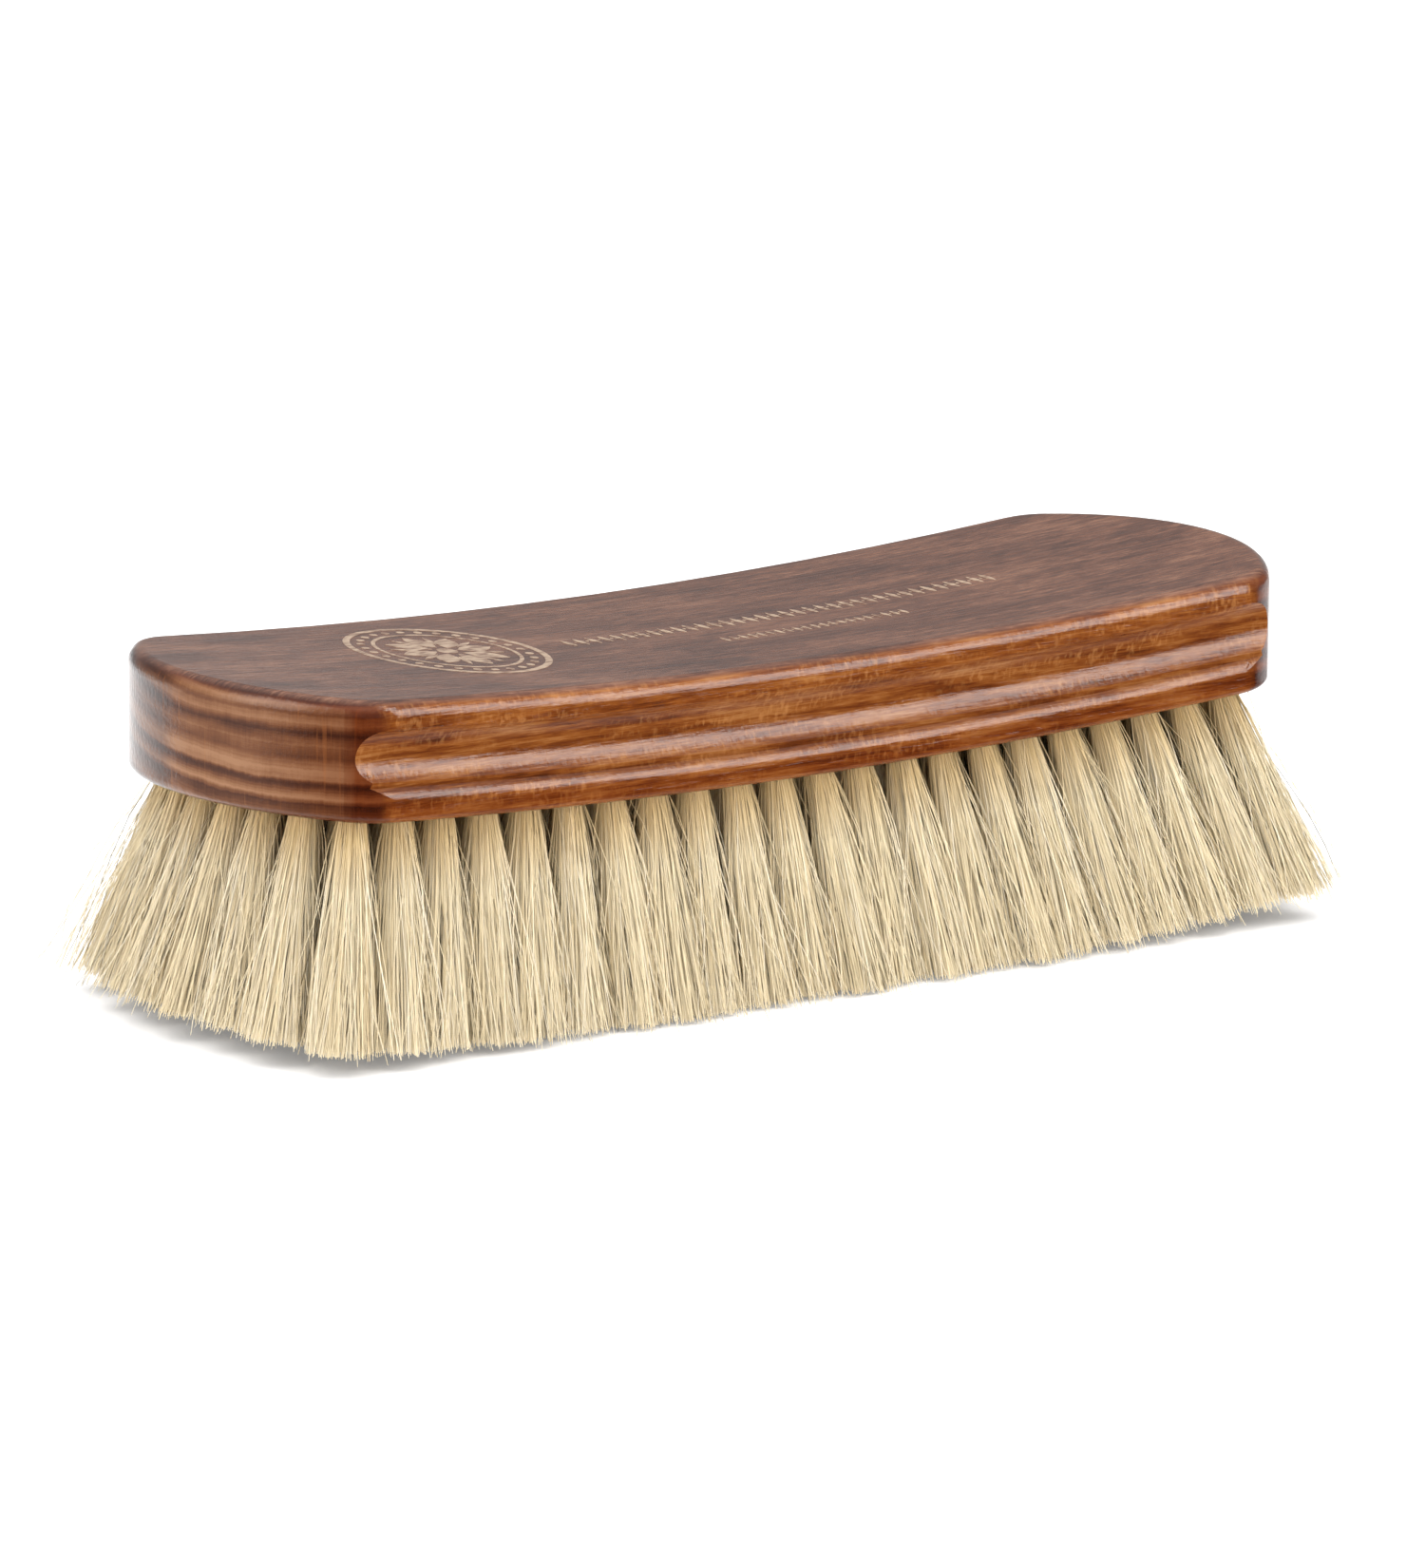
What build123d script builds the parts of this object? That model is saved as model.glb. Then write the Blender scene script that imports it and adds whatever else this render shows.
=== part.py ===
from build123d import *
import math
import os

os.makedirs("parts", exist_ok=True)

# Clothes brush: a bowed beech block with seven rows of horsehair tufts.
# Millimetres. +X runs along the block, +Y across it, +Z up.
# z = 0 is the plane of the hair tips that the brush stands on.

# Block outline in plan
BLOCK_LENGTH = 180.0
BLOCK_WIDTH = 55.6
END_SAGITTA = 12.7          # how far each curved end stands out past its corners
CORNER_RADIUS = 9.0         # rounding of the four corners in plan

# Block seen from the side
HAIR_LENGTH = 30.0          # free hair below the block at mid length
BLOCK_THICKNESS = 16.4      # at mid length
TOP_BOW_RADIUS = 1018.0     # the top is hollow along its length
UNDER_BOW_RADIUS = 1180.0   # the underside rises towards the ends
TOP_EDGE_RADIUS = 2.1
UNDER_EDGE_RADIUS = 1.4

# Moulding along both long sides: heights are measured down from the top face,
# depths in from the flat of the side
COVE_TOP = 3.65
COVE_SHOULDER_DEPTH = 1.25
COVE_SHOULDER_HEIGHT = 5.3
COVE_FLOOR_DEPTH = 1.9
COVE_FLOOR_HEIGHT = 7.9
NOSE_DEPTH = 0.7
NOSE_HEIGHT = 11.0
QUIRK_DEPTH = 0.85
QUIRK_HEIGHT = 11.8
BEAD_FOOT_HEIGHT = 13.5
BEAD_RADIUS = 2.12
CUTTER_OVERHANG = 3.0       # how far the moulding cutter reaches outside the side
END_OVERRUN = 5.0           # how far the slab and the moulding cutter run past each end

# Tuft layout
COLUMNS = 24
ROW_PITCH = 7.43
ROW_END_X = {0: 80.0, 1: 80.0, 2: 78.4, 3: 75.3}   # last tuft of each row, by rows out from the middle
COLUMN_SKEW = 0.075         # the cross columns stand out of square: X gained for each unit of Y
OUTER_ROW = 3
HOLE_DIAMETER = 4.2
HOLE_DEPTH = 10.5
DRILL_OVERRUN = 3.0         # the drill starts this far outside the underside
TUFT_DIAMETER = 4.1
FOLD_GAP = 0.1              # between the folded end of a tuft and the bottom of its hole

# Flare of the tufts from the holes to their tips
SPREAD_X = 1.09
SPREAD_Y = 1.30
TIP_DIAMETER = 7.3
TRIM_OVERRUN = 3.0          # bundles are made this much too long, then trimmed
OFFCUT_WIDTH = 30.0
OFFCUT_DEPTH = 20.0
NECK = 0.8                  # straight part of a tuft just outside its hole
FLAT_HALF_LENGTH = 30.0     # tips within this distance of mid length are level
TRIM_RADIUS = 450.0         # beyond it the tips rise along this radius

# Flat wire anchor across the bottom of each hole
ANCHOR_LENGTH = 5.2
ANCHOR_HEIGHT = 1.7
ANCHOR_THICKNESS = 0.4
ANCHOR_TURN = 45.0
ANCHOR_FROM_BOTTOM = 0.5

HALF_LENGTH = BLOCK_LENGTH / 2
HALF_WIDTH = BLOCK_WIDTH / 2
TOP_MIDDLE = HAIR_LENGTH + BLOCK_THICKNESS


def sagitta(radius, x):
    """Height of a bow of this radius above its lowest point, at a distance x from it."""
    return radius - math.sqrt(radius ** 2 - x ** 2)


def plan_outline():
    """Straight long sides closed by a circular arc at each end."""
    corner_x = HALF_LENGTH - END_SAGITTA
    corners = [
        (-corner_x, -HALF_WIDTH),
        (corner_x, -HALF_WIDTH),
        (corner_x, HALF_WIDTH),
        (-corner_x, HALF_WIDTH),
    ]
    front = Line(corners[0], corners[1])
    right = ThreePointArc(corners[1], (HALF_LENGTH, 0), corners[2])
    back = Line(corners[2], corners[3])
    left = ThreePointArc(corners[3], (-HALF_LENGTH, 0), corners[0])
    face = make_face([front, right, back, left])
    return fillet(face.vertices(), CORNER_RADIUS)


def bowed_slab():
    """A slab with the hollow top and the bowed underside, longer and wider than the block."""
    reach = HALF_LENGTH + END_OVERRUN
    top_end = TOP_MIDDLE + sagitta(TOP_BOW_RADIUS, reach)
    under_end = HAIR_LENGTH + sagitta(UNDER_BOW_RADIUS, reach)
    edges = [
        ThreePointArc((-reach, under_end), (0, HAIR_LENGTH), (reach, under_end)),
        Line((reach, under_end), (reach, top_end)),
        ThreePointArc((reach, top_end), (0, TOP_MIDDLE), (-reach, top_end)),
        Line((-reach, top_end), (-reach, under_end)),
    ]
    side_view = Plane.XZ * make_face(edges)
    return extrude(side_view, BLOCK_WIDTH, both=True)


def rounded_block():
    """The plain block with its top and bottom edges rounded."""
    prism = extrude(plan_outline(), 2 * TOP_MIDDLE)
    block = prism & bowed_slab()
    faces = block.faces().sort_by(Axis.Z)
    block = fillet(faces[-1].edges(), TOP_EDGE_RADIUS)
    faces = block.faces().sort_by(Axis.Z)
    return fillet(faces[0].edges(), UNDER_EDGE_RADIUS)


def moulding_cutter():
    """Cove, quirk and bead of the front side, swept along the bow of the top."""
    def point(depth, height):
        return (-HALF_WIDTH + depth, TOP_MIDDLE - height)

    cove_in = ThreePointArc(
        point(0, COVE_TOP),
        point(COVE_SHOULDER_DEPTH, COVE_SHOULDER_HEIGHT),
        point(COVE_FLOOR_DEPTH, COVE_FLOOR_HEIGHT),
    )
    cove_out = TangentArc(cove_in @ 1, point(NOSE_DEPTH, NOSE_HEIGHT), tangent=cove_in % 1)
    quirk = Line(cove_out @ 1, point(QUIRK_DEPTH, QUIRK_HEIGHT))
    bead = RadiusArc(quirk @ 1, point(0, BEAD_FOOT_HEIGHT), -BEAD_RADIUS)
    closing = Polyline(
        bead @ 1,
        point(-CUTTER_OVERHANG, BEAD_FOOT_HEIGHT),
        point(-CUTTER_OVERHANG, COVE_TOP),
        cove_in @ 0,
    )
    section = Plane.YZ * make_face([cove_in, cove_out, quirk, bead, closing])
    bow_axis = Axis((0, 0, TOP_MIDDLE + TOP_BOW_RADIUS), (0, 1, 0))
    sweep_angle = 2 * math.degrees(math.asin((HALF_LENGTH + END_OVERRUN) / TOP_BOW_RADIUS))
    return revolve(section.rotate(bow_axis, -sweep_angle / 2), bow_axis, sweep_angle)


def tuft_points(column):
    """Hole mouth and tip centre of every tuft in one cross column."""
    points = []
    for row in range(-OUTER_ROW, OUTER_ROW + 1):
        outer = abs(row) == OUTER_ROW
        count = COLUMNS - 2 if outer else COLUMNS
        index = column - 1 if outer else column
        if not 0 <= index < count:
            continue
        end_x = ROW_END_X[abs(row)]
        y = row * ROW_PITCH
        x = -end_x + 2 * end_x * index / (count - 1) + COLUMN_SKEW * y
        mouth = Vector(x, y, HAIR_LENGTH + sagitta(UNDER_BOW_RADIUS, x))
        tip_x = x * SPREAD_X
        past_flat = max(0, abs(tip_x) - FLAT_HALF_LENGTH)
        tip = Vector(tip_x, y * SPREAD_Y, sagitta(TRIM_RADIUS, past_flat))
        points.append((mouth, tip))
    return points


def hole_plane(mouth, tip):
    """Plane at the hole mouth whose normal points up into the block along the hole."""
    return Plane(origin=mouth, x_dir=(1, 0, 0), z_dir=mouth - tip)


def hole_cutter(mouth, tip):
    depth = HOLE_DEPTH + DRILL_OVERRUN
    drill = Cylinder(HOLE_DIAMETER / 2, depth, align=(Align.CENTER, Align.CENTER, Align.MIN))
    return hole_plane(mouth, tip) * Pos(0, 0, -DRILL_OVERRUN) * drill


def anchor(mouth, tip):
    """Flat wire on edge across the bottom of a hole, its ends biting into the wood."""
    wire = Box(ANCHOR_LENGTH, ANCHOR_THICKNESS, ANCHOR_HEIGHT)
    level = HOLE_DEPTH - ANCHOR_FROM_BOTTOM - ANCHOR_HEIGHT / 2
    return hole_plane(mouth, tip) * Pos(0, 0, level) * Rot(0, 0, ANCHOR_TURN) * wire


def tip_slope(tip):
    """Normal of the trimmed hair surface at a tip, pointing down."""
    past_flat = max(0, abs(tip.X) - FLAT_HALF_LENGTH)
    tilt = math.asin(past_flat / TRIM_RADIUS)
    return Vector(math.copysign(math.sin(tilt), tip.X), 0, -math.cos(tilt))


def tuft(mouth, tip):
    """Round stem in the hole, then a leaning bundle that opens out to its trimmed tip."""
    neck_radius = TUFT_DIAMETER / 2
    neck_plane = hole_plane(mouth, tip).offset(-NECK)
    stem_length = HOLE_DEPTH - FOLD_GAP + NECK
    stem = Cylinder(neck_radius, stem_length, align=(Align.CENTER, Align.CENTER, Align.MIN))
    flare_length = (mouth - tip).length - NECK
    growth = (TIP_DIAMETER / 2 - neck_radius) / flare_length
    flare = Cone(
        neck_radius + growth * (flare_length + TRIM_OVERRUN),
        neck_radius,
        flare_length + TRIM_OVERRUN,
        align=(Align.CENTER, Align.CENTER, Align.MAX),
    )
    trim_plane = Plane(origin=tip, x_dir=(1, 0, 0), z_dir=tip_slope(tip))
    offcut = Box(OFFCUT_WIDTH, OFFCUT_WIDTH, OFFCUT_DEPTH, align=(Align.CENTER, Align.CENTER, Align.MIN))
    return neck_plane * (stem + flare) - trim_plane * offcut - anchor(mouth, tip)


def build_block(all_points):
    front_cutter = moulding_cutter()
    back_cutter = front_cutter.rotate(Axis.Z, 180)
    block = rounded_block() - front_cutter - back_cutter
    cutters = [hole_cutter(*points) for points in all_points]
    cutters += [anchor(*points) for points in all_points]
    return block - cutters


def main():
    columns = [tuft_points(column) for column in range(COLUMNS)]
    block = build_block([points for column in columns for points in column])
    export_step(block, "parts/block.step")
    for number, points in enumerate(columns, start=1):
        tufts = Compound(children=[tuft(*pair) for pair in points])
        export_step(tufts, f"parts/tufts_{number:02d}.step")
        anchors = Compound(children=[anchor(*pair) for pair in points])
        export_step(anchors, f"parts/anchors_{number:02d}.step")


main()
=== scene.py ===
import math

import bpy
import numpy as np
from mathutils import Matrix, Vector


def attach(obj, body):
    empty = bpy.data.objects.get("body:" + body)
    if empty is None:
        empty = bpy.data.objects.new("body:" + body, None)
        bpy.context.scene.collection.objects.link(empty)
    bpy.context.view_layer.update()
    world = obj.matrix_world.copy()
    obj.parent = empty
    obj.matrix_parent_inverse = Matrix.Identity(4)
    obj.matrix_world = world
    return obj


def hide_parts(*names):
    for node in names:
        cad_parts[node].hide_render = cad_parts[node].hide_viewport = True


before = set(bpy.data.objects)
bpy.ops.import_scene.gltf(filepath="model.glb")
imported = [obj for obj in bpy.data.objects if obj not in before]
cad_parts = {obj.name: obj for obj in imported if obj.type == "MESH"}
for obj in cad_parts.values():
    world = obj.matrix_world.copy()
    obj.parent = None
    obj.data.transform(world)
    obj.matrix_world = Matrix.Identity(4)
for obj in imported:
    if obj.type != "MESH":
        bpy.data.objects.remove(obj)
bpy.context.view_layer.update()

MM = 0.001
SEED = 20417

# The tuft layout and the bows of the block, as in the CAD, in millimetres
COLUMNS = 24
ROW_PITCH = 7.43
ROW_END_X = {0: 80.0, 1: 80.0, 2: 78.4, 3: 75.3}
COLUMN_SKEW = 0.075
OUTER_ROW = 3
HAIR_LENGTH = 30.0
UNDER_BOW_RADIUS = 1180.0
TOP_BOW_RADIUS = 1018.0
TOP_MIDDLE = 46.4
SPREAD_X = 1.09
SPREAD_Y = 1.30


def sagitta(radius, x):
    """Height of a bow of this radius above its lowest point, at a distance x from it."""
    return radius - math.sqrt(radius ** 2 - x ** 2)


def add_object(name, data):
    """A new object in the scene, from a mesh, a light or a camera."""
    obj = bpy.data.objects.new(name, data)
    bpy.context.collection.objects.link(obj)
    return obj


# ---------------------------------------------------------------- node helpers


class Nodes:
    """A material's node tree, built by short calls."""

    def __init__(self, name):
        self.material = bpy.data.materials.new(name)
        self.material.use_nodes = True
        self.tree = self.material.node_tree
        self.shader = self.tree.nodes["Principled BSDF"]

    def add(self, kind, **settings):
        node = self.tree.nodes.new(kind)
        for key, value in settings.items():
            setattr(node, key, value)
        return node

    def feed(self, socket, value):
        """Links a socket's source to it, or sets a plain value."""
        if isinstance(value, bpy.types.NodeSocket):
            self.tree.links.new(value, socket)
        else:
            socket.default_value = value

    def math(self, operation, a, b=0.0):
        node = self.add("ShaderNodeMath", operation=operation)
        self.feed(node.inputs[0], a)
        self.feed(node.inputs[1], b)
        return node.outputs[0]

    def scaled(self, vector, scale, offset=(0, 0, 0)):
        node = self.add("ShaderNodeMapping")
        self.feed(node.inputs["Vector"], vector)
        node.inputs["Location"].default_value = offset
        node.inputs["Scale"].default_value = scale
        return node.outputs[0]

    def noise(self, vector, scale=1.0, detail=3.0, roughness=0.5, distortion=0.0):
        node = self.add("ShaderNodeTexNoise")
        self.feed(node.inputs["Vector"], vector)
        node.inputs["Scale"].default_value = scale
        node.inputs["Detail"].default_value = detail
        node.inputs["Roughness"].default_value = roughness
        node.inputs["Distortion"].default_value = distortion
        return node.outputs["Fac"]

    def ramp(self, fac, stops):
        """Straight ramp through (place, colour) stops, where a single number is a grey."""
        node = self.add("ShaderNodeValToRGB")
        elements = node.color_ramp.elements
        while len(elements) < len(stops):
            elements.new(0.5)
        for element, (place, color) in zip(elements, stops):
            element.position = place
            if isinstance(color, (int, float)):
                color = (color, color, color)
            element.color = (*color, 1.0)
        self.feed(node.inputs["Fac"], fac)
        return node.outputs["Color"]

    def mix(self, fac, a, b, blend="MIX"):
        """Mixes two colours, each a socket or three numbers."""
        node = self.add("ShaderNodeMix", data_type="RGBA", blend_type=blend)
        self.feed(node.inputs["Factor"], fac)
        for socket, value in ((node.inputs["A"], a), (node.inputs["B"], b)):
            if isinstance(value, tuple):
                value = (*value, 1.0)
            self.feed(socket, value)
        return node.outputs["Result"]

    def split(self, vector):
        node = self.add("ShaderNodeSeparateXYZ")
        self.feed(node.inputs[0], vector)
        return node.outputs

    def step(self, value, low, high):
        """0 below low, 1 above high, straight between."""
        node = self.add("ShaderNodeMapRange")
        self.feed(node.inputs["Value"], value)
        node.inputs["From Min"].default_value = low
        node.inputs["From Max"].default_value = high
        return node.outputs["Result"]

    def weigh(self, *terms):
        """Weighted sum of sockets."""
        total = 0.0
        for value, weight in terms:
            total = self.math("ADD", self.math("MULTIPLY", value, weight), total)
        return total

    def bump(self, height, strength, distance, normal=None):
        node = self.add("ShaderNodeBump")
        self.feed(node.inputs["Height"], height)
        self.feed(node.inputs["Strength"], strength)
        node.inputs["Distance"].default_value = distance
        if normal is not None:
            self.feed(node.inputs["Normal"], normal)
        return node.outputs["Normal"]

    def set(self, **values):
        """Feeds the shader's sockets, with underscores for the spaces in their names."""
        for key, value in values.items():
            self.feed(self.shader.inputs[key.replace("_", " ")], value)


# ---------------------------------------------------------------- materials

# Growth rings: height below the top in millimetres, and how pale the wood is there
RINGS = [
    (0.6, 0.10), (1.6, 0.90), (2.7, 0.42), (4.1, 0.80),
    (5.3, 0.12), (6.9, 0.62), (8.4, 0.34), (10.3, 0.95),
    (11.4, 0.80), (12.1, 0.08), (14.0, 0.92), (15.0, 0.15),
    (17.5, 0.75), (19.0, 0.20), (22.0, 0.80), (24.5, 0.30),
]
RING_SPAN = 26.0
RING_LOW_Y = -14.0          # the rings lie lowest here, and rise by RING_RISE times the distance squared
RING_RISE = 0.0041

# Colours of the wood from dark to pale, at places along a tone of 0 to 1
SIDE_COLORS = [
    (0.36, (0.064, 0.015, 0.003)),
    (0.44, (0.134, 0.031, 0.005)),
    (0.51, (0.222, 0.064, 0.011)),
    (0.58, (0.305, 0.115, 0.031)),
    (0.68, (0.400, 0.190, 0.066)),
]
END_COLORS = [
    (0.28, (0.034, 0.011, 0.006)),
    (0.39, (0.078, 0.027, 0.013)),
    (0.49, (0.150, 0.057, 0.024)),
    (0.58, (0.230, 0.103, 0.048)),
    (0.68, (0.310, 0.158, 0.082)),
]
TOP_COLORS = [
    (0.39, (0.048, 0.019, 0.013)),
    (0.47, (0.100, 0.040, 0.025)),
    (0.53, (0.165, 0.069, 0.041)),
    (0.61, (0.255, 0.122, 0.073)),
]
RING_TINTS = [(0.1, (0.72, 0.64, 0.60)), (0.50, (0.98, 0.98, 0.98)), (0.9, (1.10, 1.10, 1.06))]
FLECK_COLOR = (0.50, 0.22, 0.070)
RAY_COLOR = (0.42, 0.16, 0.05)

# Tints that darken parts of the wood
FOOT_TINT = (0.76, 0.60, 0.45)          # sides below the moulding
CORNER_TINT = (0.44, 0.215, 0.115)      # ends, towards the sides
END_PLUS_Y_TINT = (0.52, 0.46, 0.44)         # ends, darker over their +Y half


class Beech(Nodes):
    """Brown stained beech under gloss varnish. The rings lie almost level and the fibres run along X."""

    def __init__(self):
        super().__init__("stained_beech")
        place = self.add("ShaderNodeTexCoord").outputs["Object"]
        self.mm = self.scaled(place, (1000, 1000, 1000))
        x, self.y, z = self.split(self.mm)
        geometry = self.add("ShaderNodeNewGeometry")
        self.normal_x = self.math("ABSOLUTE", self.split(geometry.outputs["Normal"])[0])
        bow = self.math("MULTIPLY", self.math("MULTIPLY", x, x), 0.5 / TOP_BOW_RADIUS)
        self.depth = self.math("SUBTRACT", self.math("ADD", bow, TOP_MIDDLE), z)
        # 1 on the top face, and 1 on the ends with their rounded corners
        self.up = self.math("SUBTRACT", 1.0, self.step(self.depth, 0.12, 0.75))
        self.endward = self.step(self.normal_x, 0.08, 0.28)

        self.fibre = self.grain((0.06, 1.2, 1.2), 5.0, 0.68)
        self.fine = self.grain((0.28, 5.0, 5.0), 3.0, 0.65)
        blotch = self.grain((0.07, 0.16, 0.28), 4.0, 0.62)
        self.tone = self.weigh((self.fibre, 0.38), (self.fine, 0.26), (blotch, 0.36))
        self.rings, self.thin_rings = self.growth_rings()

    def grain(self, scale, detail, roughness=0.5, offset=(0, 0, 0), distortion=0.0):
        """Noise over the block in millimetres, with its own scale along X, Y and Z."""
        return self.noise(self.scaled(self.mm, scale, offset), 1.0, detail, roughness, distortion)

    def growth_rings(self):
        """Broad and thin rings: layers nearly level with the top, hollow across the block."""
        waver = self.math("SUBTRACT", self.grain((0.02, 0.05, 0.12), 2.0), 0.5)
        jitter = self.math("SUBTRACT", self.grain((0.5, 1.4, 0.4), 4.0, 0.65), 0.5)
        drift = self.weigh((waver, 1.6), (jitter, 0.5))
        off_low = self.math("ABSOLUTE", self.math("SUBTRACT", self.y, RING_LOW_Y))
        rise = self.math("MULTIPLY", self.math("POWER", off_low, 2.0), RING_RISE)
        level = self.math("ADD", self.math("ADD", self.depth, rise), drift)
        stops = [(height / RING_SPAN, shade) for height, shade in RINGS]
        rings = self.ramp(self.math("DIVIDE", level, RING_SPAN), stops)
        layers = self.add("ShaderNodeCombineXYZ")
        self.feed(layers.inputs[2], level)
        return rings, self.noise(layers.outputs[0], scale=2.6, detail=4.0, roughness=0.65)

    def side_color(self):
        """Fibres and rings along the sides, with short pale ray flecks gathered in patches."""
        fleck = self.grain((1.5, 0.6, 0.8), 2.0, 0.45, distortion=0.3)
        patch = self.grain((0.06, 0.2, 0.40), 2.0, offset=(7.0, 2.0, 3.0))
        flecks = self.math("MULTIPLY", self.step(fleck, 0.48, 0.72), self.step(patch, 0.44, 0.66))
        color = self.ramp(self.tone, SIDE_COLORS)
        color = self.mix(self.math("MULTIPLY", flecks, 0.45), color, FLECK_COLOR)
        color = self.mix(0.55, color, self.ramp(self.rings, RING_TINTS), blend="MULTIPLY")
        footward = self.step(self.depth, 13.2, 14.2)
        return self.mix(footward, color, FOOT_TINT, blend="MULTIPLY")

    def end_color(self):
        """The rings cut across, with a few upright ray lines."""
        upright = self.grain((1.5, 3.4, 0.22), 4.0, 0.68)
        cloud = self.grain((0.07, 0.14, 0.40), 4.0, 0.62, offset=(3.0, 1.0, 5.0))
        tone = self.weigh((self.rings, 0.40), (self.thin_rings, 0.24), (cloud, 0.24), (upright, 0.12))
        color = self.ramp(tone, END_COLORS)
        ray_lines = self.step(self.grain((0.7, 1.3, 0.05), 2.0), 0.66, 0.72)
        color = self.mix(self.math("MULTIPLY", ray_lines, 0.22), color, RAY_COLOR)
        cornerward = self.math("SUBTRACT", 1.0, self.step(self.normal_x, 0.60, 0.95))
        color = self.mix(cornerward, color, CORNER_TINT, blend="MULTIPLY")
        # darker over the +Y half of each end
        return self.mix(self.step(self.y, 0.5, 4.0), color, END_PLUS_Y_TINT, blend="MULTIPLY")

    def top_color(self):
        """Darker and patchy, with fine pores."""
        patch = self.grain((0.03, 0.10, 0.0), 5.0, 0.70, distortion=0.3)
        pores = self.grain((0.35, 2.6, 0.0), 3.0, 0.65)
        return self.ramp(self.weigh((self.fibre, 0.28), (pores, 0.32), (patch, 0.40)), TOP_COLORS)

    def varnish(self):
        """Gloss coat with a slow ripple, long streaks and small pits."""
        ripple = self.grain((0.03, 0.22, 0.22), 2.0)
        streaks = self.grain((0.06, 1.5, 1.5), 4.0, 0.65)
        pits = self.grain((0.9, 0.9, 0.5), 3.0, 0.6)
        gloss = self.weigh((self.up, 0.09), (self.endward, -0.065))
        # the ripple is slighter over the ends, and the pits over the ends and the top
        ripple_strength = self.math("SUBTRACT", 0.12, self.math("MULTIPLY", self.endward, 0.09))
        flat = self.math("MAXIMUM", self.endward, self.up)
        pit_strength = self.math("SUBTRACT", 0.22, self.math("MULTIPLY", flat, 0.16))
        coat = self.bump(ripple, ripple_strength, 0.0004)
        coat = self.bump(streaks, 0.36, 0.00022, normal=coat)
        coat = self.bump(pits, pit_strength, 0.0002, normal=coat)
        self.set(Normal=self.bump(ripple, 0.25, 0.0004, normal=self.bump(self.fine, 0.12, 0.00006)))
        self.set(Coat_Normal=coat, Coat_Roughness=self.math("ADD", 0.09, gloss))
        self.set(IOR=1.4, Specular_IOR_Level=0.0, Coat_Weight=1.0, Coat_IOR=1.5)


def beech_material():
    n = Beech()
    color = n.mix(n.endward, n.side_color(), n.end_color())
    n.set(Base_Color=n.mix(n.up, color, n.top_color()))
    n.set(Roughness=n.ramp(n.tone, [(0.3, 0.55), (0.7, 0.42)]))
    n.varnish()
    return n.material


# Hair colours by the shade of each hair, and the painted shade that the root is multiplied by along the hair
HAIR_COLORS = [
    (0.0, (0.62, 0.44, 0.22)),
    (0.25, (0.75, 0.59, 0.36)),
    (0.5, (0.83, 0.70, 0.46)),
    (0.8, (0.90, 0.77, 0.53)),
    (1.0, (0.95, 0.86, 0.68)),
]
ROOT_PAINTED_SHADE = [(0.0, (0.56, 0.40, 0.24)), (0.14, (0.80, 0.69, 0.52)), (0.36, (1.0, 1.0, 1.0))]
HAIR_MOTTLE = [(0.3, (0.90, 0.86, 0.78)), (0.7, (1.05, 1.04, 1.02))]


def hair_material():
    """Blond horsehair: every strand has its own shade, with painted shade that makes it darker and browner
    towards the root.
    """
    n = Nodes("horsehair")
    shade = n.add("ShaderNodeAttribute", attribute_name="shade").outputs["Fac"]
    along = n.add("ShaderNodeAttribute", attribute_name="along").outputs["Fac"]
    place = n.add("ShaderNodeTexCoord").outputs["Object"]
    mottle = n.noise(n.scaled(place, (900, 900, 160)), detail=2.0)
    color = n.mix(0.35, n.ramp(shade, HAIR_COLORS), n.ramp(mottle, HAIR_MOTTLE), blend="MULTIPLY")
    # painted shade: darker and browner towards the roots, where the hair lies in the shade of the block and
    # the other tufts
    color = n.mix(1.0, color, n.ramp(along, ROOT_PAINTED_SHADE), blend="MULTIPLY")
    n.set(Base_Color=color, Roughness=0.6, IOR=1.5, Specular_IOR_Level=0.12)
    return n.material


def steel_material():
    """Plain drawn flat wire."""
    n = Nodes("anchor_wire")
    place = n.add("ShaderNodeTexCoord").outputs["Object"]
    drawn = n.noise(n.scaled(place, (400, 400, 4000)), detail=3.0)
    n.set(Base_Color=n.ramp(drawn, [(0.3, (0.42, 0.42, 0.43)), (0.7, (0.62, 0.62, 0.62))]))
    n.set(Metallic=1.0, Roughness=n.ramp(drawn, [(0.3, 0.32), (0.7, 0.48)]))
    return n.material


def print_material():
    """Pale gold transfer print, a little worn."""
    n = Nodes("gilt_print")
    place = n.add("ShaderNodeTexCoord").outputs["Object"]
    wear = n.noise(n.scaled(place, (500, 1500, 500)), detail=3.0)
    n.set(Base_Color=n.ramp(wear, [(0.36, (0.20, 0.105, 0.065)), (0.58, (0.50, 0.36, 0.25))]))
    n.set(Roughness=0.5, Coat_Weight=0.6, Coat_Roughness=0.2)
    return n.material


# ---------------------------------------------------------------- block

# The moulding of the long sides, as in the CAD: (depth into the side, height below the top)
HALF_WIDTH = 27.8
COVE_POINTS = np.array(((0.0, 3.65), (1.25, 5.3), (1.9, 7.9)))
NOSE = np.array((0.7, 11.0))
QUIRK = np.array((0.85, 11.8))
BEAD_FOOT = np.array((0.0, 13.5))
BEAD_RADIUS = 2.12
MESH_TOLERANCE = 0.06       # how far a CAD mesh point may lie from the true surface
LONGEST_EDGE = 1.3
SPLIT_ROUNDS = 5
STRAIGHT_HALF = 62.0        # within this distance of mid length, the sides are moulded all the way along

# Triangles that take the place of a face with this many split edges: 0 to 2 are its corners, and 3 to 5
# the middles of the edges that start at them
SPLIT_PATTERNS = {
    0: [(0, 1, 2)],
    1: [(0, 3, 2), (3, 1, 2)],
    2: [(3, 1, 4), (0, 3, 4), (0, 4, 2)],
    3: [(0, 3, 5), (3, 1, 4), (5, 4, 2), (3, 4, 5)],
}


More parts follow.
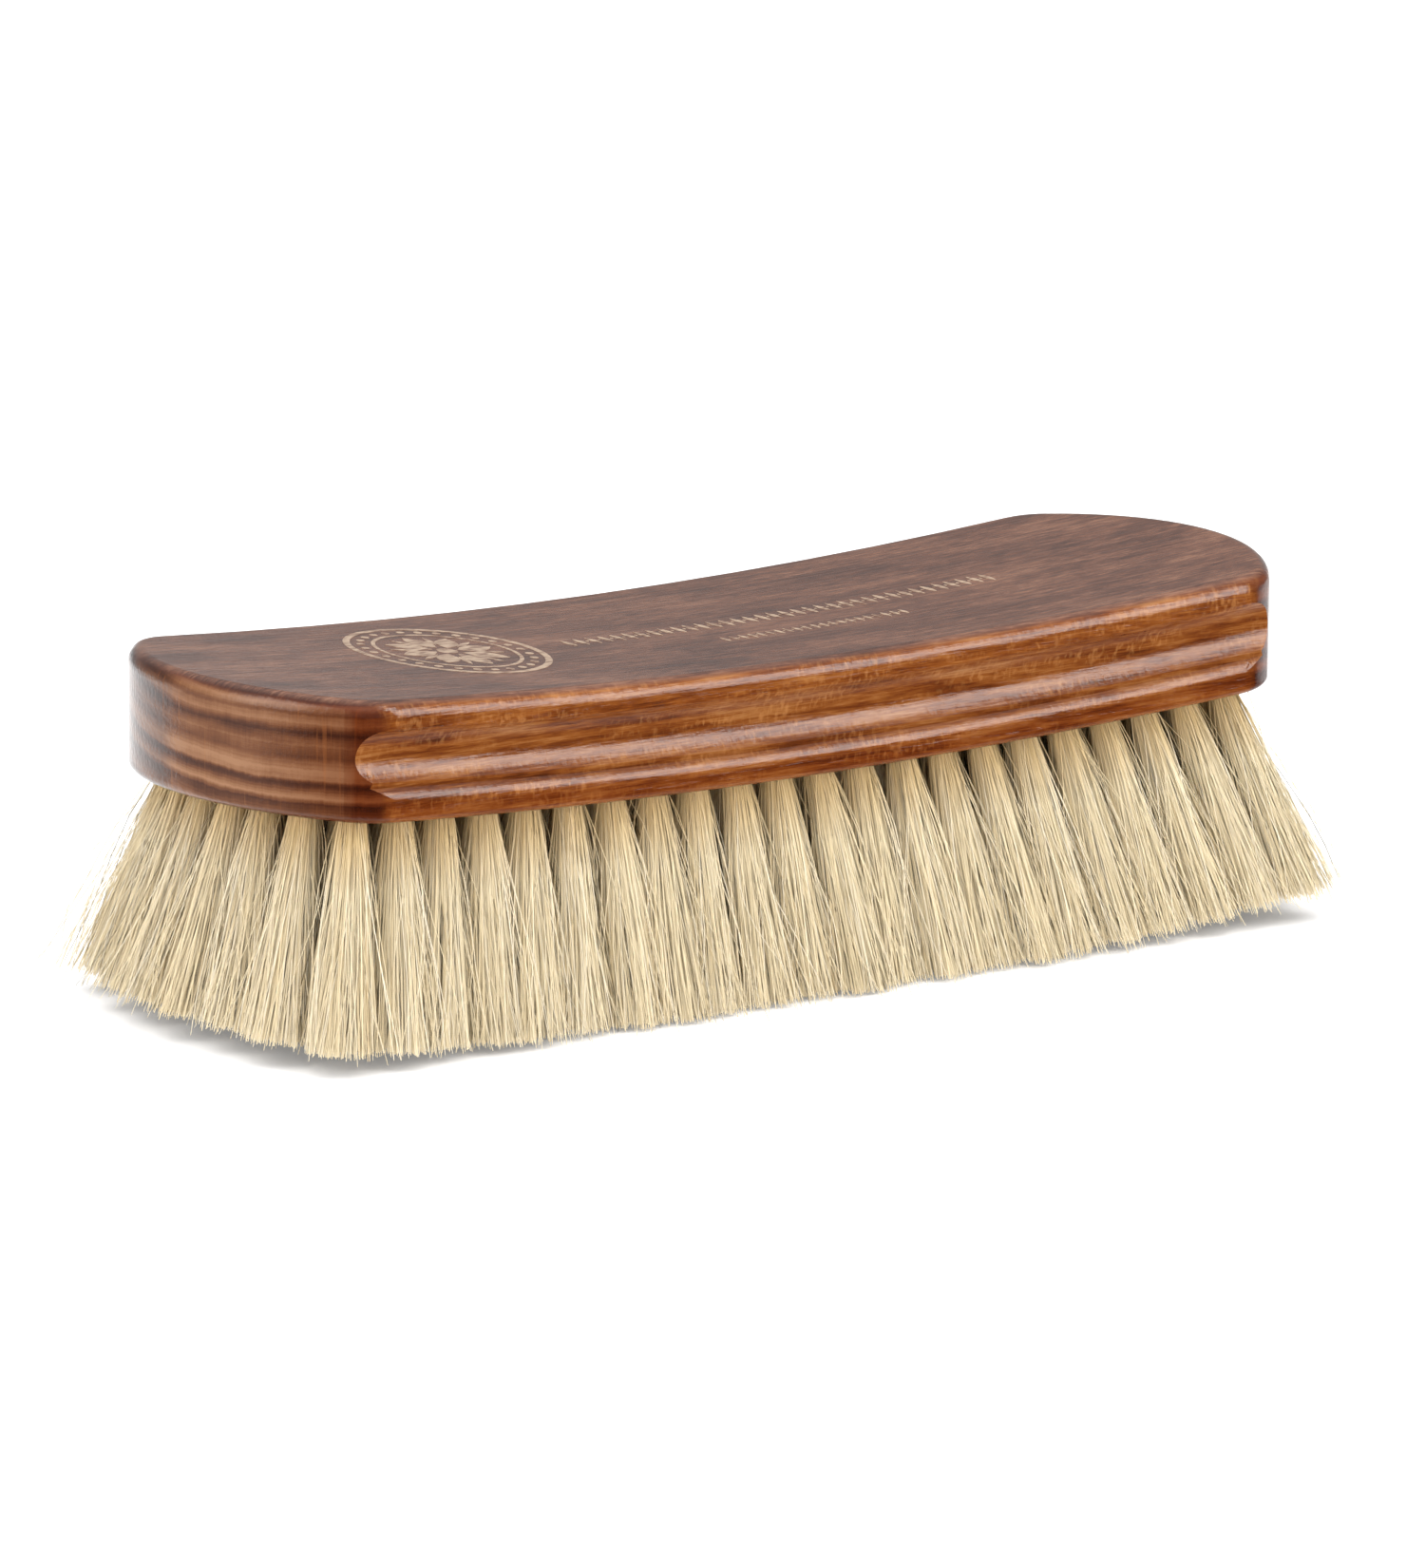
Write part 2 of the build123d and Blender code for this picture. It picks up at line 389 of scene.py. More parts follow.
class Moulding:
    """The true section of the moulding, for a finer mesh and exact normals."""

    def __init__(self):
        start, middle, floor = COVE_POINTS
        chords = 2 * np.array((middle - start, floor - start))
        cove_in = np.linalg.solve(chords, (middle @ middle - start @ start, floor @ floor - start @ start))
        inward = (cove_in - floor) / np.linalg.norm(cove_in - floor)
        run = NOSE - floor
        cove_out = floor + inward * (run @ run) / (2 * run @ inward)
        chord = BEAD_FOOT - QUIRK
        half = np.linalg.norm(chord) / 2
        side = np.array((chord[1], -chord[0])) / (2 * half)
        bead = (QUIRK + BEAD_FOOT) / 2 + side * math.sqrt(BEAD_RADIUS ** 2 - half ** 2)
        # every part: the heights it starts and ends at, its centre, its radius, and the side of the centre
        self.arcs = [
            (start[1], floor[1], cove_in, np.linalg.norm(start - cove_in), 1.0),
            (floor[1], NOSE[1], cove_out, np.linalg.norm(floor - cove_out), 1.0),
            (QUIRK[1], BEAD_FOOT[1], bead, BEAD_RADIUS, -1.0),
        ]
        self.slant = (QUIRK[0] - NOSE[0]) / (QUIRK[1] - NOSE[1])

    def depth_and_slope(self, height, part_height):
        """Depth at each height and its change with height, on the part that part_height lies on."""
        held = np.clip(height, NOSE[1], QUIRK[1])
        depth = NOSE[0] + self.slant * (held - NOSE[1])
        slope = np.full(height.shape, self.slant)
        for low, high, center, radius, side in self.arcs:
            here = (part_height >= low) & (part_height <= high)
            rise = np.clip(height, low, high) - center[1]
            reach = np.sqrt(radius ** 2 - rise ** 2)
            depth = np.where(here, center[0] + side * reach, depth)
            slope = np.where(here, -side * rise / reach, slope)
        return depth, slope


def bow_height(points):
    """Height below the bowed top, and the unit direction it grows in."""
    axis_z = TOP_MIDDLE + TOP_BOW_RADIUS
    radial = points * (1.0, 0.0, 1.0) - (0.0, 0.0, axis_z)
    distance = np.linalg.norm(radial, axis=-1)
    return distance - TOP_BOW_RADIUS, radial / distance[..., None]


def on_moulding(moulding, points, faces):
    """Marks the faces that lie on the moulded surface."""
    height, _ = bow_height(points)
    depth, _ = moulding.depth_and_slope(height, height)
    off = np.abs(np.abs(points[:, 1]) - (HALF_WIDTH - depth))
    in_band = (height > COVE_POINTS[0, 1] - MESH_TOLERANCE) & (height < BEAD_FOOT[1] + MESH_TOLERANCE)
    close = in_band & (off < MESH_TOLERANCE)
    middle = points[faces].mean(axis=1)
    middle_height, _ = bow_height(middle)
    between = (middle_height > COVE_POINTS[0, 1]) & (middle_height < BEAD_FOOT[1])
    a, b, c = (points[faces[:, k]] for k in range(3))
    normal = np.cross(b - a, c - a)
    sideways = np.abs(normal[:, 0]) < 0.2 * np.linalg.norm(normal, axis=1)
    inner = np.abs(middle[:, 0]) < STRAIGHT_HALF
    return close[faces].all(axis=1) & between & (sideways | inner)


def split_faces(faces, normals, marks, fresh):
    """Cuts the faces at the new points on their edges, where -1 stands for an edge that stays whole."""
    split = fresh >= 0
    many = split.sum(axis=1)
    first = np.zeros(len(faces), dtype=int)
    first[many == 1] = split[many == 1].argmax(axis=1)
    first[many == 2] = (~split[many == 2]).argmax(axis=1) + 1
    turn = (first[:, None] + np.arange(3)) % 3
    corner = np.take_along_axis(faces, turn, axis=1)
    middle = np.take_along_axis(fresh, turn, axis=1)
    at = np.take_along_axis(normals, turn[:, :, None], axis=1)
    between = at + np.roll(at, -1, axis=1)
    between /= np.maximum(np.linalg.norm(between, axis=2, keepdims=True), 1e-9)
    index = np.concatenate([corner, middle], axis=1)
    normal = np.concatenate([at, between], axis=1)

    new_faces, new_normals, new_marks = [], [], []
    for number, triangles in SPLIT_PATTERNS.items():
        rows = np.flatnonzero(many == number)
        for triangle in triangles:
            new_faces.append(index[rows][:, triangle])
            new_normals.append(normal[rows][:, triangle])
            new_marks.append(marks[rows])
    return np.concatenate(new_faces), np.concatenate(new_normals), np.concatenate(new_marks)


def split_edges(points, faces, normals, marks):
    """Halves the long edges of the marked faces, and every face that shares one."""
    edges = np.stack([faces, np.roll(faces, -1, axis=1)], axis=2)
    key = np.sort(edges, axis=2).reshape(-1, 2)
    unique, place = np.unique(key, axis=0, return_inverse=True)
    place = place.reshape(-1, 3)
    length = np.linalg.norm(points[unique[:, 0]] - points[unique[:, 1]], axis=1)
    touched = np.zeros(len(unique), dtype=bool)
    touched[place[marks].ravel()] = True
    halved = touched & (length > LONGEST_EDGE)
    fresh = np.full(len(unique), -1)
    fresh[halved] = len(points) + np.arange(halved.sum())
    points = np.concatenate([points, points[unique[halved]].mean(axis=1)])
    # a new point moves onto the true surface only where every face around it is moulded
    plain = np.zeros(len(unique), dtype=bool)
    plain[place[~marks].ravel()] = True
    moved = fresh[halved & ~plain]
    faces, normals, marks = split_faces(faces, normals, marks, fresh[place])
    return points, faces, normals, marks, moved


def welded_triangles(mesh):
    """Points of a CAD mesh in millimetres with doubles joined, its triangles and their corner normals."""
    points = np.empty(len(mesh.vertices) * 3, dtype=np.float32)
    mesh.vertices.foreach_get("co", points)
    points = points.reshape(-1, 3).astype(float) / MM
    _, kept, welded = np.unique(np.round(points, 4), axis=0, return_index=True, return_inverse=True)
    faces = np.array([tuple(polygon.vertices) for polygon in mesh.polygons])
    faces = welded.reshape(-1)[faces]
    normals = np.array([tuple(corner.vector) for corner in mesh.corner_normals]).reshape(-1, 3, 3)
    whole = (faces[:, 0] != faces[:, 1]) & (faces[:, 1] != faces[:, 2]) & (faces[:, 2] != faces[:, 0])
    return points[kept], faces[whole], normals[whole]


def moulding_normals(moulding, corners):
    """Exact normals at the corners of moulded faces, each face keeping to its own part of the section."""
    height, outward = bow_height(corners)
    part = np.repeat(height.mean(axis=1)[:, None], 3, axis=1)
    _, slope = moulding.depth_and_slope(height, part)
    exact = slope[..., None] * outward
    exact[..., 1] += np.sign(corners[..., 1])
    return exact / np.linalg.norm(exact, axis=2, keepdims=True)


def build_block(node, material):
    """The CAD block with its moulding meshed finely enough for clean reflections."""
    points, faces, normals = welded_triangles(node.data)
    moulding = Moulding()
    marks = on_moulding(moulding, points, faces)
    for _ in range(SPLIT_ROUNDS):
        points, faces, normals, marks, moved = split_edges(points, faces, normals, marks)
        height, _ = bow_height(points[moved])
        depth, _ = moulding.depth_and_slope(height, height)
        points[moved, 1] = np.sign(points[moved, 1]) * (HALF_WIDTH - depth)
    normals[marks] = moulding_normals(moulding, points[faces[marks]])

    mesh = bpy.data.meshes.new("beech_block")
    mesh.from_pydata(points * MM, [], faces)
    mesh.polygons.foreach_set("use_smooth", np.ones(len(faces), dtype=bool))
    mesh.normals_split_custom_set(normals.reshape(-1, 3))
    mesh.materials.append(material)
    obj = add_object("beech_block", mesh)
    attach(obj, "root")
    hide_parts("block")


# ---------------------------------------------------------------- hair

# Kinds of tuft by how deep in the field they stand: the number of hairs, the segments of each, their
# thickness in millimetres, and the shade that theirs vary round, paler for the deeper tufts as painted light
# that lifts the shade between the rows. The outer tufts, which are seen, are the finest.
OUTER_TUFT = (600, 6, 0.175, 0.64)
SECOND_TUFT = (320, 5, 0.24, 0.80)
INNER_TUFT = (200, 4, 0.28, 0.85)
THICKNESS_SPREAD = 0.09     # of the thickness
THINNEST_RADIUS = 0.05

STRAYS = 4                  # loose hairs of each outer tuft
END_STRAYS = 9              # and of those near the ends of the block
STRAY_SEGMENTS = 10
STRAY_RADIUS = 0.055
STRAY_ROOT_SCATTER = 1.2
STRAY_REACH = (1.5, 6.5)    # how far they lean out of the field
STRAY_SCATTER = 3.0
STRAY_RISE = (0.2, 7.0)     # height of their tips above the trim
STRAY_WAVE = 1.6
STRAY_SECOND_WAVE = 0.7

TRIM_FLAT = 18.0            # tips within this distance of mid length are level
TRIM_RADIUS_LEFT = 900.0    # beyond it they are trimmed to a shallow bow like the block's
TRIM_RADIUS_RIGHT = 620.0
TRIM_SHORTFALL = 0.42       # how far hairs typically fall short of the trim
TRIM_JITTER = 0.12
LEAN_X = 0.7                # the whole field of hair leans slightly to +X
ROOT_RADIUS = 1.82
ROOT_IN_HOLE = 2.0
SPREAD_IN_TUFT = (4.8, 4.6)  # half-widths along X and Y that one tuft opens out to at its tips
SPREAD_RANGE = (0.86, 1.12)  # and how much less or more a single tuft does
TUFT_SCATTER = 0.55         # how far a whole tuft, a lock or a single tip strays from its place
LOCK_SCATTER = 0.45
TIP_SCATTER = 0.7
HAIRS_PER_LOCK = 16
FEWEST_LOCKS = 6
LOCK_PULL = (0.08, 0.42)    # how far hairs are drawn to the middle of their lock
WILD_SHARE = 0.24           # fine hairs that cross their neighbours
WILD_SCATTER = 2.6
WILD_RADIUS = 0.065
WAVE = 0.30                 # sideways bend of a hair
WILD_WAVE = 0.9
SECOND_WAVE = 0.5           # strength of a second, shorter wave against the first
LOCK_SHADE = 0.09           # spread of shade between locks, and between hairs
HAIR_SHADE = 0.08
INSIDE_PAINTED_LIGHT = 0.30         # painted light: hairs inside a tuft are made paler, standing in for light that passes through the hair to them
WILD_PALER = 0.10
TIP_TAPER = 0.72
TUFT_ROUNDNESS = 1.7        # how far the shading of a hair follows the round of its tuft


def tuft_points(column):
    """Row number, hole mouth and tip centre of every tuft in one cross column, in millimetres."""
    points = []
    for row in range(-OUTER_ROW, OUTER_ROW + 1):
        outer = abs(row) == OUTER_ROW
        count = COLUMNS - 2 if outer else COLUMNS
        index = column - 1 if outer else column
        if not 0 <= index < count:
            continue
        end_x = ROW_END_X[abs(row)]
        y = row * ROW_PITCH
        x = -end_x + 2 * end_x * index / (count - 1) + COLUMN_SKEW * y
        mouth = np.array((x, y, HAIR_LENGTH + sagitta(UNDER_BOW_RADIUS, x)))
        tip = np.array((x * SPREAD_X, y * SPREAD_Y, 0.0))
        points.append((row, mouth, tip))
    return points


def trim_height(x):
    """Height of the trimmed tips above the floor, in millimetres."""
    along = np.maximum(0, np.abs(x) - TRIM_FLAT)
    return along ** 2 / (2 * np.where(x < 0, TRIM_RADIUS_LEFT, TRIM_RADIUS_RIGHT))


def disk_points(rng, count):
    """Random places in a unit disk, and their distances from its middle."""
    turn = rng.uniform(0, 2 * math.pi, count)
    reach = np.sqrt(rng.uniform(0, 1, count))
    return np.stack([reach * np.cos(turn), reach * np.sin(turn)], axis=1), reach


def root_points(root_xy, mouth, tip):
    """Places inside the hole that the hairs start from."""
    axis = (mouth - tip) / np.linalg.norm(mouth - tip)
    height = np.full((len(root_xy), 1), mouth[2])
    return np.concatenate([root_xy, height], axis=1) + axis[None] * ROOT_IN_HOLE


def tuft_strands(rng, mouth, tip, kind):
    """Centre lines, radii and shades of one tuft's hairs, and their places across the tuft."""
    count, segments, thickness, tone_and_painted_light = kind
    disk, reach = disk_points(rng, count)

    # hairs of one lock share a place to go and a shade
    locks = max(FEWEST_LOCKS, count // HAIRS_PER_LOCK)
    lock_disk, _ = disk_points(rng, locks)
    lock = np.argmin(((disk[:, None, :] - lock_disk[None]) ** 2).sum(2), axis=1)
    pull = rng.uniform(*LOCK_PULL, count)[:, None]
    spread = disk * (1 - pull) + lock_disk[lock] * pull

    wild = rng.uniform(0, 1, count) < WILD_SHARE
    opening = np.array(SPREAD_IN_TUFT) * rng.uniform(*SPREAD_RANGE)
    tip_xy = tip[None, :2] + spread * opening
    tip_xy += rng.normal(0, 1, (count, 2)) * np.where(wild, WILD_SCATTER, TIP_SCATTER)[:, None]
    tip_xy += rng.normal(0, TUFT_SCATTER, 2)
    tip_xy[:, 0] += LEAN_X
    tip_xy += rng.normal(0, LOCK_SCATTER, (locks, 2))[lock]
    trim = trim_height(tip_xy[:, 0])
    trim += np.abs(rng.normal(0, TRIM_SHORTFALL, count))
    trim += rng.uniform(-TRIM_JITTER, TRIM_JITTER, count)
    ends = np.concatenate([tip_xy, trim[:, None]], axis=1)

    root_xy = mouth[None, :2] + disk * ROOT_RADIUS
    roots = root_points(root_xy, mouth, tip)
    t = np.linspace(0, 1, segments + 1)[None, :, None]
    path = roots[:, None, :] * (1 - t) + ends[:, None, :] * t
    # hairs leave the hole side by side and open out further down
    straight = (root_xy - mouth[None, :2]) - (tip_xy - tip[None, :2] - (LEAN_X, 0.0))
    path[:, :, :2] += straight[:, None, :] * (t - t ** rng.uniform(1.02, 1.4, count)[:, None, None])
    wave = rng.normal(0, 1, (count, 1, 2)) * np.sin(math.pi * t)
    wave += rng.normal(0, SECOND_WAVE, (count, 1, 2)) * np.sin(2 * math.pi * t)
    path[:, :, :2] += wave * np.where(wild, WILD_WAVE, WAVE)[:, None, None]

    # painted light: the deeper tufts start from a paler tone, to lift the shade between the rows
    shade = tone_and_painted_light + rng.normal(0, LOCK_SHADE, locks)[lock] + rng.normal(0, HAIR_SHADE, count)
    # painted light: hairs deeper inside the tuft are made paler
    shade += INSIDE_PAINTED_LIGHT * (1 - reach) + np.where(wild, WILD_PALER, 0.0)
    radius = rng.normal(thickness / 2, thickness * THICKNESS_SPREAD, count)
    radius = np.clip(radius, THINNEST_RADIUS, None)
    radius = np.where(wild, WILD_RADIUS, radius)
    return path, radius, np.clip(shade, 0.02, 0.98), disk


def stray_strands(rng, row, mouth, tip, count):
    """A few loose hairs that bow away from their tuft."""
    out = np.array((np.sign(mouth[0]) * max(0.0, (abs(mouth[0]) - 60) / 25), np.sign(row) * 1.0))
    root_xy = mouth[None, :2] + rng.normal(0, STRAY_ROOT_SCATTER, (count, 2))
    roots = root_points(root_xy, mouth, tip)
    tip_xy = tip[None, :2] + out[None] * rng.uniform(*STRAY_REACH, (count, 1))
    tip_xy += rng.normal(0, STRAY_SCATTER, (count, 2))
    height = trim_height(tip_xy[:, 0]) + rng.uniform(*STRAY_RISE, count)
    ends = np.concatenate([tip_xy, height[:, None]], axis=1)
    t = np.linspace(0, 1, STRAY_SEGMENTS + 1)[None, :, None]
    path = roots[:, None, :] * (1 - t) + ends[:, None, :] * t
    bow = rng.normal(0, STRAY_WAVE, (count, 1, 2)) * np.sin(math.pi * t)
    bow += rng.normal(0, STRAY_SECOND_WAVE, (count, 1, 2)) * np.sin(2 * math.pi * t)
    path[:, :, :2] += bow
    return path, np.full(count, STRAY_RADIUS), rng.uniform(0.5, 1.0, count), np.zeros((count, 2))


def strand_corners(path, radius, outward, turn):
    """Corners of three-sided hairs round their centre lines, and the normals they are shaded with."""
    count, points, _ = path.shape
    angle = turn[:, None] + np.arange(3)[None, :] * 2 * math.pi / 3
    ring = np.stack([np.cos(angle), np.sin(angle), np.zeros_like(angle)], axis=2)
    taper = np.ones(points)
    taper[-1] = TIP_TAPER
    corners = path[:, :, None, :] + ring[:, None] * (radius[:, None, None, None] * taper[None, :, None, None])
    bulge = np.concatenate([outward, np.zeros((count, 1))], axis=1)
    normals = ring[:, None] + TUFT_ROUNDNESS * bulge[:, None, None, :]
    normals = np.broadcast_to(normals, corners.shape).reshape(-1, 3)
    return corners.reshape(-1, 3), normals / np.linalg.norm(normals, axis=1, keepdims=True)


def strand_faces(first, count, points):
    """Triangles of closed three-sided hairs whose corners are numbered from first on."""
    index = np.arange(count * points * 3).reshape(count, points, 3) + first
    turned = np.roll(index, -1, axis=2)
    quads = np.stack([index[:, :-1], index[:, 1:], turned[:, 1:], turned[:, :-1]], axis=3)
    quads = quads.reshape(count, (points - 1) * 3, 4)
    sides = np.concatenate([quads[:, :, [0, 1, 2]], quads[:, :, [0, 2, 3]]], axis=1)
    tip_cap = index[:, -1, :][:, None, ::-1]
    root_cap = index[:, 0, :][:, None, :]
    return np.concatenate([sides, tip_cap, root_cap], axis=1).reshape(-1, 3)


def strand_uvs(first, count, points, across, down):
    """Bake coordinates: every hair is an upright strip in its own cell of a grid."""
    number = first + np.arange(count)
    left = (number % across) / across
    low = (number // across) / down
    u = left[:, None, None] + np.array((0.2, 0.5, 0.8))[None, None, :] / across
    v = low[:, None, None] + (0.04 + 0.92 * np.linspace(0, 1, points))[None, :, None] / down
    u = np.broadcast_to(u, (count, points, 3))
    v = np.broadcast_to(v, (count, points, 3))
    return np.stack([u, v], axis=3).reshape(-1, 2)


def triangle_mesh(name, verts, faces):
    """A smooth mesh from arrays of points in metres and triangles."""
    mesh = bpy.data.meshes.new(name)
    mesh.vertices.add(len(verts))
    mesh.vertices.foreach_set("co", verts.astype(np.float32).ravel())
    mesh.loops.add(len(faces) * 3)
    mesh.loops.foreach_set("vertex_index", faces.astype(np.int32).ravel())
    mesh.polygons.add(len(faces))
    mesh.polygons.foreach_set("loop_start", np.arange(0, len(faces) * 3, 3, dtype=np.int32))
    mesh.polygons.foreach_set("use_smooth", np.ones(len(faces), dtype=bool))
    return mesh


def strands_mesh(name, groups):
    """One mesh from groups of hairs: their paths, radii, shades, places across the tuft and turns."""
    total = sum(len(group[1]) for group in groups)
    across = math.ceil(math.sqrt(total * 10))
    down = math.ceil(total / across)
    verts, normals, faces, shades, alongs, uvs = [], [], [], [], [], []
    first_corner = first_strand = 0
    for path, radius, shade, outward, turn in groups:
        count, points, _ = path.shape
        corners, directions = strand_corners(path, radius, outward, turn)
        verts.append(corners)
        normals.append(directions)
        faces.append(strand_faces(first_corner, count, points))
        shades.append(np.repeat(shade, points * 3))
        alongs.append(np.tile(np.repeat(np.linspace(0, 1, points), 3), count))
        uvs.append(strand_uvs(first_strand, count, points, across, down))
        first_corner += len(corners)
        first_strand += count

    faces = np.concatenate(faces)
    mesh = triangle_mesh(name, np.concatenate(verts) * MM, faces)
    for label, values in (("shade", shades), ("along", alongs)):
        attribute = mesh.attributes.new(label, "FLOAT", "POINT")
        attribute.data.foreach_set("value", np.concatenate(values).astype(np.float32))
    layer = mesh.uv_layers.new(name="OFBake")
    layer.data.foreach_set("uv", np.concatenate(uvs)[faces.ravel()].astype(np.float32).ravel())
    mesh.update(calc_edges=True)
    mesh.validate()
    mesh.normals_split_custom_set_from_vertices(np.concatenate(normals))
    return mesh


def build_hair(column, material):
    """All the hair of one cross column of tufts, as one object that stands for the CAD node."""
    rng = np.random.default_rng(SEED + column)
    columns_in = min(column, COLUMNS - 1 - column)
    groups = []
    for row, mouth, tip in tuft_points(column):
        inward = min(OUTER_ROW - abs(row), columns_in, 2)
        kind = (OUTER_TUFT, SECOND_TUFT, INNER_TUFT)[inward]
        strands = tuft_strands(rng, mouth, tip, kind)
        groups.append((*strands, rng.uniform(0, 2 * math.pi, len(strands[0]))))
        if inward == 0:
            loose = END_STRAYS if columns_in < 2 else STRAYS
            strands = stray_strands(rng, row, mouth, tip, loose)
            groups.append((*strands, rng.uniform(0, 2 * math.pi, loose)))
    name = f"hair_{column + 1:02d}"
    obj = add_object(name, strands_mesh(name, groups))
    obj.data.materials.append(material)
    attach(obj, "root")
    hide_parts(f"tufts_{column + 1:02d}")


# ---------------------------------------------------------------- printed mark

PRINT_RAISED = 0.04         # millimetres that the print stands above the wood
PRINT_SUNK = 0.03

MEDALLION_CENTER = np.array((-43.0, 2.5))
MEDALLION_HALF = np.array((12.6, 17.2))     # half-widths along X and Y
# The medallion's lines, as the distances of their two edges in from the rim
OUTER_LINE = ((0.0, 0.0), (0.9, 1.1))
INNER_LINE = ((3.6, 4.4), (4.1, 5.1))
WREATH_INSET = (2.25, 2.75)
WREATH_DOTS = 28
WREATH_DOT = (0.55, 0.75)
LEAVES = 8
BROAD_LEAF = (1.9, 8.0, 3.1)                # start, end and width of a leaf
THIN_LEAF = (3.4, 7.9, 0.9)
ROSETTE_STRETCH = (0.92, 1.32)
HEART_DOT = (1.35, 1.8)

# Rows of leaves: name, start and end in X, place in Y, length and width of a leaf
BORDERS = [
    ("print_border_long", -25.5, 49.9, -0.5, 4.2, 0.9),
    ("print_border_short", -5.0, 27.7, -9.5, 2.8, 0.65),
]
BORDER_PITCH = 2.3                          # least distance from leaf to leaf, in leaf widths
BORDER_DOT = (0.22, 0.35)                   # half-widths of the dots between, in leaf widths


def oval(center, half, steps):
    """Outline of an oval from its half-widths along X and Y."""
    angles = np.linspace(0, 2 * math.pi, steps, endpoint=False)
    return np.stack([center[0] + half[0] * np.cos(angles), center[1] + half[1] * np.sin(angles)], axis=1)


def petal(angle, near, far, width, steps=14):
    """Pointed leaf lying along a direction from the origin."""
    t = np.linspace(0, 1, steps)
    half = width / 2 * np.sin(math.pi * t)
    middle = near + (far - near) * t
    along = np.concatenate([middle, middle[-2:0:-1]])
    side = np.concatenate([half, -half[-2:0:-1]])
    cos, sin = math.cos(angle), math.sin(angle)
    return np.stack([along * cos - side * sin, along * sin + side * cos], axis=1)


class Print:
    """Thin closed pieces of print that follow the bowed top of the block."""

    def __init__(self):
        self.verts, self.faces = [], []

    def layer(self, outline, raised):
        """Adds an outline's points at this height above the wood, and returns their numbers."""
        first = len(self.verts)
        for x, y in outline:
            self.verts.append((x * MM, y * MM, (TOP_MIDDLE + sagitta(TOP_BOW_RADIUS, x) + raised) * MM))
        return list(range(first, first + len(outline)))

    def patch(self, outline):
        """A filled shape, fanned from its middle."""
        middle = outline.mean(axis=0)
        upper = self.layer(outline, PRINT_RAISED)
        lower = self.layer(outline, -PRINT_SUNK)
        (top,) = self.layer([middle], PRINT_RAISED)
        (bottom,) = self.layer([middle], -PRINT_SUNK)
        for i in range(len(upper)):
            j = (i + 1) % len(upper)
            self.faces.append((upper[i], upper[j], top))
            self.faces.append((lower[j], lower[i], bottom))
            self.faces.append((lower[i], lower[j], upper[j], upper[i]))

    def band(self, outer, inner):
        """A closed line between two outlines with the same number of points."""
        outer_up = self.layer(outer, PRINT_RAISED)
        outer_low = self.layer(outer, -PRINT_SUNK)
        inner_up = self.layer(inner, PRINT_RAISED)
        inner_low = self.layer(inner, -PRINT_SUNK)
        for i in range(len(outer)):
            j = (i + 1) % len(outer)
            self.faces.append((outer_up[i], outer_up[j], inner_up[j], inner_up[i]))
            self.faces.append((outer_low[j], outer_low[i], inner_low[i], inner_low[j]))
            self.faces.append((outer_low[i], outer_low[j], outer_up[j], outer_up[i]))
            self.faces.append((inner_up[i], inner_up[j], inner_low[j], inner_low[i]))

    def finish(self, name, material):
        mesh = bpy.data.meshes.new(name)
        mesh.from_pydata(self.verts, [], self.faces)
        mesh.materials.append(material)
        mesh.validate()
        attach(add_object(name, mesh), "root")


def build_medallion(material):
    """Generic oval medallion: two lines, a wreath of dots and a rosette round a dot."""
    mark = Print()
    for insets in (OUTER_LINE, INNER_LINE):
        edges = [oval(MEDALLION_CENTER, MEDALLION_HALF - inset, 96) for inset in insets]
        mark.band(*edges)
    for k in range(WREATH_DOTS):
        angle = 2 * math.pi * k / WREATH_DOTS
        direction = np.array((math.cos(angle), math.sin(angle)))
        spot = MEDALLION_CENTER + (MEDALLION_HALF - WREATH_INSET) * direction
        mark.patch(oval(spot, WREATH_DOT, 12))
    for k in range(LEAVES):
        angle = 2 * math.pi * k / LEAVES
        mark.patch(petal(angle, *BROAD_LEAF) * ROSETTE_STRETCH + MEDALLION_CENTER)
        mark.patch(petal(angle + math.pi / LEAVES, *THIN_LEAF) * ROSETTE_STRETCH + MEDALLION_CENTER)
    mark.patch(oval(MEDALLION_CENTER, HEART_DOT, 24))
    mark.finish("print_medallion", material)


def build_border(material, name, start, end, y, leaf_length, leaf_width):
    """A straight row of pointed leaves with dots between them."""
    mark = Print()
    count = int((end - start) / (leaf_width * BORDER_PITCH))
    pitch = (end - start) / count
    dot = np.array(BORDER_DOT) * leaf_width
    for k in range(count):
        x = start + pitch * (k + 0.5)
        leaf = petal(math.pi / 2, -leaf_length / 2, leaf_length / 2, leaf_width)
        mark.patch(leaf + (x, y))
        if k < count - 1:
            mark.patch(oval((x + pitch / 2, y), dot, 12))
    mark.finish(name, material)


# ---------------------------------------------------------------- stage

FLOOR_HALF = 12.0
FLOOR_DROP = 0.0003         # the floor lies just below the hair tips

LIGHT_TARGET = (0, 0, 0.03)
# Area lights: name, place, width and height, watts, colour, and whether the varnish mirrors the light
LIGHTS = [
    ("key", (1.08, -1.36, 1.0), (0.45, 2.2), 17.5, (1.0, 0.99, 0.97), True),
    ("left", (-1.09, 0.06, 0.53), (0.7, 1.1), 5.0, (1.0, 1.0, 1.0), True),
    ("overhead", (-0.1, -0.1, 2.0), (2.2, 2.2), 40.0, (1.0, 1.0, 1.0), False),
    ("fill", (-1.15, -1.85, 0.55), (1.8, 0.9), 11.0, (1.0, 1.0, 1.0), False),
]

# The camera stands off its aim in the direction of the two angles, and is then moved in its own plane
CAMERA_AIM = (0, 0, 0.0382)
CAMERA_AZIMUTH = -37.559    # degrees, from the front towards +X
CAMERA_ELEVATION = 12.233
CAMERA_ROLL = 0.581
CAMERA_DISTANCE = 1.953
CAMERA_SHIFT_RIGHT = 0.000834
CAMERA_SHIFT_UP = -0.014044
CAMERA_LENS = 323.62909     # millimetres, for a sensor of this height
SENSOR_HEIGHT = 36.0

# The bright sheet behind the brush lies on this side of it, in X and Y
SHEET_SIDE = (0.865, 0.502)


